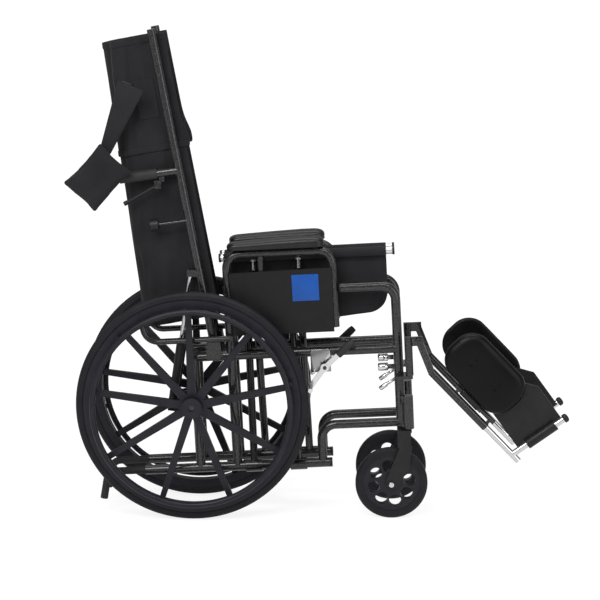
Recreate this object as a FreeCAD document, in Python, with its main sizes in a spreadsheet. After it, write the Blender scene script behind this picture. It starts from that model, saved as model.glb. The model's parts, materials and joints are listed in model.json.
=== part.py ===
import FreeCAD, Part
import math
import os
import Sketcher

os.makedirs("parts", exist_ok=True)
V3 = FreeCAD.Vector
doc = FreeCAD.newDocument("chair")
sheet = doc.addObject("Spreadsheet::Sheet", "Dimensions")

# Driving dimensions in millimetres and degrees
DIMENSIONS = [
    ("wheel_radius", 305),
    ("frame_pitch", 3),
    ("origin_reach", 332.5),
    ("half_gap", 54),
    ("tube_radius", 12.5),
    ("loop_tube_radius", 12),
    ("thin_tube_radius", 11),
    ("hook_tube_radius", 8),
    ("tube_bend", 38),
    ("lower_rail_drop", 184),
    ("lower_rail_rear", -140),
    ("lower_rail_front", 350),
    ("seat_rail_rise", 117),
    ("seat_rail_rear", -2),
    ("front_post_reach", 543),
    ("front_post_foot", -114),
    ("upper_rail_rise", 285),
    ("upper_rail_rear", 402),
    ("loop_reach", 332),
    ("loop_drop", 82),
    ("mid_post_reach", 106),
    ("mid_post_top", 300),
    ("axle_post_reach", 8),
    ("axle_radius", 8),
    ("axle_length", 84),
    ("running_clearance", 0.05),
    ("soft_clearance", 0.6),
    ("hook_rise", 168),
    ("hook_back", -112),
    ("hook_tip", 236),
    ("hook_offset", 27),
    ("wheel_offset", 62),
    ("tyre_half_width", 14),
    ("rim_outer", 284),
    ("rim_inner", 262),
    ("rim_half_width", 13),
    ("spoke_count", 9),
    ("spoke_width", 15),
    ("spoke_thick", 12),
    ("hub_radius", 27),
    ("hub_half_width", 28),
    ("handrim_radius", 258),
    ("handrim_tube", 8),
    ("handrim_offset", 26),
    ("caster_offset", 34),
    ("caster_reach", 562),
    ("caster_radius", 95),
    ("caster_trail", 44),
    ("caster_half_width", 13),
    ("caster_rim", 74),
    ("caster_hub", 20),
    ("housing_radius", 15),
    ("housing_low", -92),
    ("housing_high", -4),
    ("stem_radius", 8),
    ("fork_plate", 4),
    ("fork_gap", 4),
    ("caster_axle", 5),
    ("leg_offset", 36),
    ("hanger_reach", 571),
    ("hanger_low", 51),
    ("hanger_high", 152),
    ("hanger_radius", 10),
    ("hanger_pin", 6),
    ("knee_reach", 599),
    ("knee_rise", 141),
    ("knee_pin", 5),
    ("knee_link", 88),
    ("knee_link_angle", 68),
    ("leg_angle", 46),
    ("leg_tube_length", 206),
    ("leg_tube_radius", 11),
    ("extension_radius", 8.5),
    ("extension_length", 230),
    ("extension_reach", 308),
    ("toe_angle", 36),
    ("toe_length", 172),
    ("toe_back", 22),
    ("footplate_depth", 150),
    ("footplate_length", 172),
    ("footplate_thick", 9),
    ("footplate_sleeve", 14),
    ("calf_length", 232),
    ("calf_width", 134),
    ("calf_thick", 34),
    ("calf_start", 22),
    ("calf_out", 14),
    ("footplate_in", 10),
    ("calf_hinge_rise", 23.5),
    ("calf_hinge_radius", 6),
    ("calf_hinge_length", 140),
    ("arm_rise", 386),
    ("arm_front", 383),
    ("arm_foot", 182),
    ("arm_plug", 120),
    ("pad_length", 254),
    ("pad_width", 52),
    ("pad_thick", 30),
    ("panel_low", 172),
    ("panel_high", 342),
    ("panel_thick", 4),
    ("pivot_reach", 62),
    ("pivot_rise", 149),
    ("pivot_pin", 6),
    ("pivot_plate", 4),
    ("cane_tilt", 10.7),
    ("cane_length", 838),
    ("cane_radius", 11),
    ("strut_arm", 200),
    ("strut_lower_angle", 235.8),
    ("strut_upper_angle", 107.4),
    ("cylinder_radius", 11),
    ("cylinder_length", 181.5),
    ("rod_radius", 5),
    ("rod_length", 182),
    ("strut_eye", 9),
    ("strut_pin", 4),
    ("handle_height", 468),
    ("handle_length", 150),
    ("handle_drop", 8),
    ("grip_length", 92),
    ("grip_radius", 14),
    ("knob_height", 336),
    ("knob_reach", 92),
    ("knob_radius", 16),
    ("lever_length", 92),
    ("lever_pin", 3),
    ("lever_eye", 7),
    ("brake_reach", 350),
    ("brake_rise", 79),
    ("brake_offset", 26),
    ("shoe_radius", 6),
    ("shoe_gap", 1.5),
    ("brake_arm", 103),
    ("brake_angle", 44),
    ("brake_pin", 5),
    ("brace_to_loop", 64),
    ("brace_rear", 150),
    ("brace_spacing", 26),
    ("brace_tube", 10),
    ("brace_centre", 287),
    ("brace_length", 535),
    ("brace_bolt", 4),
    ("rail_along", 562),
    ("rail_offset", 26),
    ("rail_tube", 10),
    ("rail_rear", 92),
    ("rail_front", 540),
    ("sleeve_wall", 4),
    ("sleeve_length", 44),
    ("seat_drop", 172),
    ("sling_thick", 3),
    ("seat_depth", 420),
    ("back_depth", 148),
    ("back_low", 70),
    ("back_high", 836),
    ("tip_reach", 100),
    ("tip_drop", 72),
    ("tip_radius", 10),
    ("pillow_width", 150),
    ("pillow_height", 140),
    ("pillow_thick", 26),
    ("strap_width", 62),
    ("strap_thick", 3),
]
for row, (alias, value) in enumerate(DIMENSIONS, start=1):
    sheet.set("A%d" % row, alias)
    sheet.set("B%d" % row, str(value))
    sheet.setAlias("B%d" % row, alias)
doc.recompute()
D = {alias: float(sheet.get(alias)) for alias, value in DIMENSIONS}
UP = V3(0, 0, 1)
RIGHT = -1
LEFT = 1
SIDES = [("right", RIGHT), ("left", LEFT)]
made = []


def turn(angle):
    """Sine and cosine of an angle in degrees."""
    return math.sin(math.radians(angle)), math.cos(math.radians(angle))


def frame(u, w, out, side):
    """A point on a side frame: u forward and w up along the pitched frame, out from its tube plane."""
    sine, cosine = turn(D["frame_pitch"])
    x = u * cosine - w * sine - D["origin_reach"]
    z = D["wheel_radius"] + u * sine + w * cosine
    return V3(x, side * (D["half_gap"] + out), z)


def name_for(label, side):
    return label + "_" + ("right" if side == RIGHT else "left")


def bind(obj, **aliases):
    for prop, alias in aliases.items():
        obj.setExpression(prop, alias if "." in alias else "Dimensions." + alias)
    return obj


def rod(start, end, radius):
    """A round bar between two points, its radius bound to the sheet."""
    obj = doc.addObject("Part::Cylinder", "Bar")
    bind(obj, Radius=radius)
    along = end - start
    obj.Height = along.Length
    obj.Placement = FreeCAD.Placement(start, FreeCAD.Rotation(UP, along))
    return obj


def block(centre, size, rotation=None):
    """A box about its centre; size holds plain lengths worked out from the sheet."""
    obj = doc.addObject("Part::Box", "Block")
    obj.Length, obj.Width, obj.Height = size
    turned = rotation or FreeCAD.Rotation()
    obj.Placement = FreeCAD.Placement(centre - turned.multVec(V3(*size) * 0.5), turned)
    return obj


def tube_path(points, bend):
    """Straight runs joined by tangent arcs."""
    edges = []
    last = points[0]
    for here, ahead in zip(points[1:-1], points[2:]):
        back = (last - here).normalize()
        on = (ahead - here).normalize()
        half = back.getAngle(on) / 2
        cut = bend / math.tan(half)
        centre = here + (back + on).normalize() * (bend / math.sin(half))
        first = here + back * cut
        second = here + on * cut
        middle = centre + (here - centre).normalize() * bend
        edges.append(Part.LineSegment(last, first).toShape())
        edges.append(Part.Arc(first, middle, second).toShape())
        last = second
    edges.append(Part.LineSegment(last, points[-1]).toShape())
    return Part.Wire(edges)


def bent(points, bend, radius):
    """A bent tube swept along its path, its section bound to the sheet."""
    spine = doc.addObject("Part::Feature", "Path")
    spine.Shape = tube_path(points, bend)
    section = doc.addObject("Part::Circle", "Section")
    bind(section, Radius=radius)
    along = (points[1] - points[0]).normalize()
    section.Placement = FreeCAD.Placement(points[0], FreeCAD.Rotation(UP, along))
    sweep = doc.addObject("Part::Sweep", "Tube")
    sweep.Sections = [section]
    sweep.Spine = (spine, [])
    sweep.Solid = True
    sweep.Frenet = True
    return sweep


def fuse(objects):
    if len(objects) == 1:
        return objects[0]
    obj = doc.addObject("Part::MultiFuse", "Joined")
    obj.Shapes = objects
    return obj


def cut(base, tools):
    obj = doc.addObject("Part::Cut", "Bored")
    obj.Base = base
    obj.Tool = fuse(tools)
    return obj


def plate(points, thick, normal):
    """A flat plate: a closed outline pushed both ways along its normal."""
    obj = doc.addObject("Part::Feature", "Plate")
    outline = [point - normal * (thick / 2) for point in points]
    obj.Shape = Part.Face(Part.makePolygon(outline + [outline[0]])).extrude(normal * thick)
    return obj


def group(objects):
    obj = doc.addObject("Part::Compound", "Set")
    obj.Links = objects
    return obj


def keep(obj, label):
    obj.Label = label
    made.append(obj)
    return obj


# Shared points on the chair
def wheel_centre(side):
    return frame(0, 0, D["wheel_offset"], side)


def caster_stem(side, w):
    return frame(D["caster_reach"], w, D["caster_offset"], side)


def caster_axle(side):
    foot = caster_stem(side, D["housing_low"])
    return V3(foot.x - D["caster_trail"], foot.y, D["caster_radius"])


def knee(side):
    return frame(D["knee_reach"], D["knee_rise"], D["leg_offset"], side)


def leg_direction():
    sine, cosine = turn(D["leg_angle"])
    return V3(cosine, 0, -sine)


def leg_normal():
    sine, cosine = turn(D["leg_angle"])
    return V3(sine, 0, cosine)


def leg_start(side):
    sine, cosine = turn(D["knee_link_angle"])
    return knee(side) + V3(cosine, 0, -sine) * D["knee_link"]


def toe_direction():
    sine, cosine = turn(D["toe_angle"])
    return V3(cosine, 0, sine)


def toe_start(side):
    return leg_start(side) + leg_direction() * D["extension_reach"]


def recline_pivot(side, out=0):
    return frame(D["pivot_reach"], D["pivot_rise"], out, side)


def cane_direction():
    sine, cosine = turn(D["cane_tilt"])
    return V3(-sine, 0, cosine)


def cane_back():
    sine, cosine = turn(D["cane_tilt"])
    return V3(-cosine, 0, -sine)


def on_cane(side, height, back=0, out=0):
    point = recline_pivot(side, out) + cane_direction() * height
    return point + cane_back() * back


def strut_end(side, angle):
    sine, cosine = turn(angle)
    return recline_pivot(side) + V3(cosine, 0, sine) * D["strut_arm"]


def across(point, side, inner, outer):
    """Two points either side of one, along the chair's width."""
    return point + V3(0, side * inner, 0), point + V3(0, side * outer, 0)


# Welded side frames with their brackets, pins and bores
def side_frame(side):
    low = -D["lower_rail_drop"]
    rise = D["seat_rail_rise"]
    front = D["front_post_reach"]
    bend = D["tube_bend"]
    mid = D["mid_post_reach"]
    post = D["axle_post_reach"]
    parts = [
        rod(frame(D["lower_rail_rear"], low, 0, side), frame(D["lower_rail_front"], low, 0, side),
            "tube_radius"),
        rod(frame(D["seat_rail_rear"], rise, 0, side), frame(front, rise, 0, side), "tube_radius"),
        bent([frame(D["upper_rail_rear"], D["upper_rail_rise"], 0, side),
              frame(front, D["upper_rail_rise"], 0, side),
              frame(front, D["front_post_foot"] + 2 * D["tube_radius"], 0, side)], bend, "tube_radius"),
        bent([frame(D["loop_reach"], low, 0, side), frame(D["loop_reach"], -D["loop_drop"], 0, side),
              frame(front, -D["loop_drop"], 0, side)], bend, "loop_tube_radius"),
        rod(frame(mid, low, 0, side), frame(mid, D["mid_post_top"], 0, side), "tube_radius"),
        rod(frame(post, low, 0, side), frame(post, rise, 0, side), "tube_radius"),
        bent([frame(mid, D["hook_rise"], D["hook_offset"], side),
              frame(D["hook_back"], D["hook_rise"], D["hook_offset"], side),
              frame(D["hook_back"] - 14, D["hook_tip"], D["hook_offset"], side)], bend, "hook_tube_radius"),
        rod(frame(mid, D["hook_rise"], 0, side), frame(mid, D["hook_rise"], D["hook_offset"], side),
            "hook_tube_radius"),
        rod(*across(frame(0, 0, 0, side), side, 0, D["axle_length"]), "axle_radius"),
        rod(caster_stem(side, D["housing_low"]), caster_stem(side, D["housing_high"]), "housing_radius"),
    ]
    pitch = FreeCAD.Rotation(V3(0, 1, 0), -D["frame_pitch"])
    # Arm that carries the caster housing out from the front post
    reach = D["caster_reach"] - front
    parts.append(block(frame(front + reach / 2, -55, D["caster_offset"] / 2, side),
                       (reach, D["caster_offset"], 60), pitch))
    # Lug and upright pin that the legrest hangs on
    lug = D["hanger_low"] - 5
    parts.append(block(frame((front + D["hanger_reach"]) / 2, lug, D["leg_offset"] / 2, side),
                       (D["hanger_reach"] - front + 16, D["leg_offset"] + 16, 8), pitch))
    parts.append(rod(frame(D["hanger_reach"], lug, D["leg_offset"], side),
                     frame(D["hanger_reach"], D["hanger_low"] + 70, D["leg_offset"], side), "hanger_pin"))
    # Recline bracket: two cheeks and the pin between them
    for out in (-15, 15):
        a = frame(D["pivot_reach"] - 22, rise, out, side)
        b = frame(D["pivot_reach"] + 22, rise, out, side)
        c = frame(D["pivot_reach"] + 16, D["pivot_rise"] + 15, out, side)
        d = frame(D["pivot_reach"] - 16, D["pivot_rise"] + 15, out, side)
        parts.append(plate([a, b, c, d], D["pivot_plate"], V3(0, 1, 0)))
        side_block = frame(D["pivot_reach"], rise, out * 0.7, side)
        parts.append(block(side_block, (40, 10, 12), pitch))
    parts.append(rod(*across(recline_pivot(side), side, -17, 17), "pivot_pin"))
    # Strut bracket: two cheeks behind the axle post and their pin
    lower = strut_end(side, D["strut_lower_angle"])
    for out in (-15, 15):
        at = frame(post, 0, out, side)
        points = [V3(at.x + 4, at.y, lower.z - 22), V3(at.x + 4, at.y, lower.z + 24),
                  V3(lower.x - 10, at.y, lower.z + 10), V3(lower.x - 10, at.y, lower.z - 10)]
        parts.append(plate(points, D["pivot_plate"], V3(0, 1, 0)))
        parts.append(block(V3(at.x, side * (D["half_gap"] + out * 0.75), lower.z), (8, 9, 44)))
    parts.append(rod(*across(lower, side, -17, 17), "strut_pin"))
    # Brake plate and its pin, outside the seat rail
    brake = frame(D["brake_reach"], D["brake_rise"], 0, side)
    parts.append(block(frame(D["brake_reach"] - 10, (rise + D["brake_rise"]) / 2 - 2, 14, side),
                       (52, 5, rise - D["brake_rise"] + 22), pitch))
    parts.append(rod(*across(brake, side, 12, D["brake_offset"] + 7), "brake_pin"))
    base = fuse(parts)
    bores = [
        rod(caster_stem(side, D["housing_low"] - 1), caster_stem(side, D["housing_high"] - 6), "stem_radius"),
        rod(frame(mid, D["mid_post_top"] - D["arm_plug"] - 1, 0, side),
            frame(mid, D["mid_post_top"] + 1, 0, side),
            "thin_tube_radius"),
        rod(frame(D["lower_rail_rear"] - 1, low, 0, side), frame(D["lower_rail_rear"] + 72, low, 0, side),
            "tip_radius"),
    ]
    for hole, alias in zip(bores, ("stem_radius", "thin_tube_radius", "tip_radius")):
        hole.setExpression("Radius", "Dimensions.%s + Dimensions.running_clearance" % alias)
    return keep(cut(base, bores), name_for("side_frame", side))


def frame_caps(side):
    low = -D["lower_rail_drop"]
    front = rod(frame(D["lower_rail_front"], low, 0, side), frame(D["lower_rail_front"] + 7, low, 0, side),
                "tube_radius")
    back = rod(frame(D["upper_rail_rear"], D["upper_rail_rise"], 0, side),
               frame(D["upper_rail_rear"] - 4, D["upper_rail_rise"], 0, side), "tube_radius")
    return keep(group([front, back]), name_for("frame_caps", side))


# Rear wheel: one moulding with hub, spokes and rim, made as a body of sketches and features
def wheel(side):
    centre = wheel_centre(side)
    body = doc.addObject("PartDesign::Body", "Wheel")
    planes = {f.Role: f for f in body.Origin.OriginFeatures}
    ring = body.newObject("Sketcher::SketchObject", "RimSection")
    ring.AttachmentSupport = [(planes["XY_Plane"], "")]
    ring.MapMode = "FlatFace"

    def loop(sketch, points):
        first = sketch.GeometryCount
        count = len(points)
        for n in range(count):
            sketch.addGeometry(Part.LineSegment(points[n], points[(n + 1) % count]), False)
        for n in range(count):
            sketch.addConstraint(Sketcher.Constraint("Coincident", first + n, 2, first + (n + 1) % count, 1))
        return first

    def rectangle(sketch, x_low, x_high, y_low, y_high):
        corners = [V3(x_low, y_low, 0), V3(x_high, y_low, 0), V3(x_high, y_high, 0), V3(x_low, y_high, 0)]
        first = loop(sketch, corners)
        for n in (0, 2):
            sketch.addConstraint(Sketcher.Constraint("Horizontal", first + n))
            sketch.addConstraint(Sketcher.Constraint("Vertical", first + n + 1))
        return first

    def size(sketch, kind, edge, point, value, alias):
        index = sketch.addConstraint(Sketcher.Constraint(kind, -1, 1, edge, point, value))
        sketch.setExpression("Constraints[%d]" % index, alias)

    rim = rectangle(ring, D["rim_inner"], D["rim_outer"], -D["rim_half_width"], D["rim_half_width"])
    size(ring, "DistanceX", rim, 1, D["rim_inner"], "Dimensions.rim_inner")
    size(ring, "DistanceX", rim + 1, 1, D["rim_outer"], "Dimensions.rim_outer")
    size(ring, "DistanceY", rim, 1, -D["rim_half_width"], "-Dimensions.rim_half_width")
    size(ring, "DistanceY", rim + 2, 1, D["rim_half_width"], "Dimensions.rim_half_width")
    bore = D["axle_radius"] + D["running_clearance"]
    hub = rectangle(ring, bore, D["hub_radius"], -D["hub_half_width"], D["hub_half_width"])
    size(ring, "DistanceX", hub, 1, bore, "Dimensions.axle_radius + Dimensions.running_clearance")
    size(ring, "DistanceX", hub + 1, 1, D["hub_radius"], "Dimensions.hub_radius")
    size(ring, "DistanceY", hub, 1, -D["hub_half_width"], "-Dimensions.hub_half_width")
    size(ring, "DistanceY", hub + 2, 1, D["hub_half_width"], "Dimensions.hub_half_width")
    spin = body.newObject("PartDesign::Revolution", "HubAndRim")
    spin.Profile = ring
    spin.ReferenceAxis = (ring, ["V_Axis"])
    spin.Angle = 360
    doc.recompute()
    spoke = body.newObject("Sketcher::SketchObject", "Spoke")
    spoke.AttachmentSupport = [(planes["XZ_Plane"], "")]
    spoke.MapMode = "FlatFace"
    root = D["hub_radius"] - 4
    tip = D["rim_inner"] + 4
    half = D["spoke_width"] / 2
    arm = loop(spoke, [V3(root, -half * 1.5, 0), V3(tip, -half, 0),
                       V3(tip, half, 0), V3(root, half * 1.5, 0)])
    size(spoke, "DistanceX", arm, 1, root, "Dimensions.hub_radius - 4")
    size(spoke, "DistanceX", arm + 3, 1, root, "Dimensions.hub_radius - 4")
    size(spoke, "DistanceX", arm + 1, 1, tip, "Dimensions.rim_inner + 4")
    size(spoke, "DistanceX", arm + 2, 1, tip, "Dimensions.rim_inner + 4")
    size(spoke, "DistanceY", arm, 1, -half * 1.5, "-Dimensions.spoke_width * 0.75")
    size(spoke, "DistanceY", arm + 1, 1, -half, "-Dimensions.spoke_width / 2")
    size(spoke, "DistanceY", arm + 2, 1, half, "Dimensions.spoke_width / 2")
    size(spoke, "DistanceY", arm + 3, 1, half * 1.5, "Dimensions.spoke_width * 0.75")
    pad = body.newObject("PartDesign::Pad", "SpokePad")
    pad.Profile = spoke
    pad.Midplane = True
    pad.setExpression("Length", "Dimensions.spoke_thick")
    doc.recompute()
    ring_of = body.newObject("PartDesign::PolarPattern", "Spokes")
    ring_of.Originals = [pad]
    ring_of.Axis = (ring, ["V_Axis"])
    ring_of.Angle = 360
    ring_of.setExpression("Occurrences", "Dimensions.spoke_count")
    body.Tip = ring_of
    body.Placement = FreeCAD.Placement(centre, FreeCAD.Rotation(V3(0, 1, 0), -92))
    return keep(body, name_for("rear_wheel", side))


def ring_body(side, label, centre, points):
    """A turned ring from section points given as radius and distance along the axle."""
    obj = doc.addObject("Part::Feature", "Ring")
    outline = [V3(r, y, 0) for r, y in points]
    face = Part.Face(Part.makePolygon(outline + [outline[0]]))
    obj.Shape = face.revolve(V3(0, 0, 0), V3(0, 1, 0), 360)
    obj.Placement = FreeCAD.Placement(centre, FreeCAD.Rotation())
    return keep(obj, name_for(label, side))


def tyre(side):
    half = D["tyre_half_width"]
    outer = D["wheel_radius"]
    inner = D["rim_outer"]
    steps = 8
    points = [(inner, -half + 2), (inner + 4, -half)]
    crown = outer - inner - 4
    for n in range(steps + 1):
        sine, cosine = turn(-90 + 180 * n / steps)
        points.append((inner + 4 + crown * max(cosine, 0.02) ** 0.6, half * sine))
    points.append((inner, half - 2))
    points[-2] = (inner + 4, half)
    points.pop(2)
    return ring_body(side, "rear_tyre", wheel_centre(side), points)


def handrim(side):
    ring = doc.addObject("Part::Torus", "Hoop")
    bind(ring, Radius1="handrim_radius", Radius2="handrim_tube")
    offset = V3(0, side * (D["rim_half_width"] + D["handrim_offset"]), 0)
    ring.Placement = FreeCAD.Placement(wheel_centre(side) + offset, FreeCAD.Rotation(V3(1, 0, 0), 90))
    parts = [ring]
    radius = D["handrim_radius"] + D["handrim_tube"]
    for n in range(6):
        sine, cosine = turn(15 + 60 * n)
        at = wheel_centre(side) + V3(radius * cosine, 0, radius * sine)
        parts.append(rod(*across(at, side, D["rim_half_width"], D["rim_half_width"] + D["handrim_offset"]),
                         "caster_axle"))
    return keep(fuse(parts), name_for("handrim", side))


# Front casters
def caster_fork(side):
    axle = caster_axle(side)
    top = caster_stem(side, D["housing_low"])
    half = D["caster_half_width"] + D["fork_gap"]
    crown_low = 2 * D["caster_radius"] + 4
    parts = [rod(caster_stem(side, D["housing_low"] - 12), caster_stem(side, D["housing_high"] - 10),
                 "stem_radius")]
    thick = top.z - D["running_clearance"] - 0.4 - crown_low
    crown = V3(top.x - D["caster_trail"] / 4, top.y, crown_low + thick / 2 - 1.2)
    parts.append(block(crown, (34, 2 * (half + D["fork_plate"]), thick - 1)))
    for way in (-1, 1):
        y = top.y + way * (half + D["fork_plate"] / 2)
        points = [V3(top.x - 22, y, crown_low + 4), V3(top.x + 10, y, crown_low + 4),
                  V3(top.x + 2, y, axle.z + 40), V3(axle.x + 12, y, axle.z - 8),
                  V3(axle.x - 12, y, axle.z - 8), V3(axle.x - 13, y, axle.z + 14)]
        parts.append(plate(points, D["fork_plate"], V3(0, 1, 0)))
    reach = half + D["fork_plate"] + 5
    parts.append(rod(*across(axle, 1, -reach, reach), "caster_axle"))
    return keep(fuse(parts), name_for("caster_fork", side))


def caster_wheel(side):
    centre = caster_axle(side)
    half = D["caster_half_width"]
    bore = D["caster_axle"] + D["running_clearance"]
    disc = doc.addObject("Part::Cylinder", "Disc")
    bind(disc, Radius="caster_rim")
    disc.setExpression("Height", "Dimensions.caster_half_width * 2 - 4")
    lie = FreeCAD.Rotation(V3(1, 0, 0), 90)
    disc.Placement = FreeCAD.Placement(centre + V3(0, half - 2, 0), lie)
    well = []
    for n in range(8):
        sine, cosine = turn(45 * n + 12)
        hole = doc.addObject("Part::Cylinder", "Window")
        hole.Radius = (D["caster_rim"] - D["caster_hub"]) * 0.3
        hole.setExpression("Height", "Dimensions.caster_half_width * 2")
        middle = (D["caster_rim"] + D["caster_hub"]) / 2 + 1
        hole.Placement = FreeCAD.Placement(centre + V3(middle * cosine, half, middle * sine), lie)
        well.append(hole)
    middle_hole = doc.addObject("Part::Cylinder", "Bore")
    middle_hole.Radius = bore
    middle_hole.setExpression("Height", "Dimensions.caster_half_width * 2")
    middle_hole.Placement = FreeCAD.Placement(centre + V3(0, half, 0), lie)
    return keep(cut(disc, well + [middle_hole]), name_for("caster_wheel", side))


def caster_tyre(side):
    half = D["caster_half_width"]
    outer = D["caster_radius"]
    inner = D["caster_rim"]
    points = [(inner, -half), (outer - 6, -half), (outer, -half + 6),
              (outer, half - 6), (outer - 6, half), (inner, half)]
    return ring_body(side, "caster_tyre", caster_axle(side), points)


# Wheel locks
def brake(side):
    pivot = frame(D["brake_reach"], D["brake_rise"], D["brake_offset"], side)
    sine, cosine = turn(D["brake_angle"])
    along = V3(cosine, 0, sine)
    hole = rod(*across(pivot, side, -20, 20), "brake_pin")
    hole.setExpression("Radius", "Dimensions.brake_pin + Dimensions.running_clearance")
    shoe_reach = D["wheel_radius"] + D["shoe_gap"] + D["shoe_radius"]
    shoe_sine, shoe_cosine = turn(8.5)
    shoe = frame(0, 0, D["brake_offset"], side) + V3(shoe_reach * shoe_cosine, 0, shoe_reach * shoe_sine)
    boss = doc.addObject("Part::Cylinder", "Boss")
    boss.Radius = D["brake_pin"] + 6
    boss.Height = 8
    boss.Placement = FreeCAD.Placement(pivot + V3(0, 4, 0), FreeCAD.Rotation(V3(1, 0, 0), 90))
    normal = V3(-sine, 0, cosine)
    bar = plate([pivot - normal * 7, pivot - normal * 7 + along * 62, pivot + normal * 7 + along * 62,
                 pivot + normal * 7], 6, V3(0, 1, 0))
    down = (shoe - pivot).normalize()
    wide = V3(-down.z, 0, down.x) * 7
    arm = plate([pivot - wide, shoe - wide, shoe + wide, pivot + wide], 6, V3(0, 1, 0))
    shoe_reach = D["wheel_offset"] - D["brake_offset"] + D["tyre_half_width"]
    roller = rod(*across(shoe, side, -4, shoe_reach), "shoe_radius")
    keep(cut(fuse([boss, bar, arm, roller]), [hole]), name_for("brake_lever", side))
    grip = rod(pivot + along * 62, pivot + along * D["brake_arm"], "caster_axle")
    grip.setExpression("Radius", "Dimensions.caster_axle + 4")
    keep(grip, name_for("brake_grip", side))


# Armrests
def armrest(side):
    mid = D["mid_post_reach"]
    rise = D["arm_rise"]
    loop = bent([frame(mid, D["mid_post_top"] - D["arm_plug"] + 20, 0, side), frame(mid, rise, 0, side),
                 frame(D["arm_front"], rise, 0, side), frame(D["arm_front"], D["arm_foot"], 0, side)],
                D["tube_bend"], "thin_tube_radius")
    bridge = rod(frame(mid + 90, rise, 0, side), frame(mid + 90, D["panel_high"] - 20, 0, side),
                 "hook_tube_radius")
    keep(fuse([loop, bridge]), name_for("armrest_frame", side))
    pitch = FreeCAD.Rotation(V3(0, 1, 0), -D["frame_pitch"])
    pad = doc.addObject("Part::Feature", "Pad")
    shape = Part.makeBox(D["pad_length"], D["pad_width"], D["pad_thick"])
    upright = [e for e in shape.Edges if abs(e.tangentAt(e.FirstParameter).z) > 0.9]
    shape = shape.makeFillet(min(D["pad_width"] * 0.3, 16), upright)
    top = [e for e in shape.Edges if e.CenterOfMass.z > D["pad_thick"] - 0.01]
    shape = shape.makeFillet(min(D["pad_thick"] * 0.3, 9), top)
    pad.Shape = shape
    start = frame(mid + 4, rise + D["thin_tube_radius"], 0, side) - V3(0, D["pad_width"] / 2, 0)
    pad.Placement = FreeCAD.Placement(start, pitch)
    keep(pad, name_for("armrest_pad", side))
    out = D["thin_tube_radius"] + D["panel_thick"] / 2
    low = D["panel_low"]
    high = D["panel_high"]
    points = [frame(mid + 6, high - 4, out, side), frame(D["arm_front"] - 3, high, out, side),
              frame(D["arm_front"] - 3, low, out, side), frame(mid + 14, low, out, side)]
    keep(plate(points, D["panel_thick"], V3(0, 1, 0)), name_for("side_panel", side))


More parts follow.
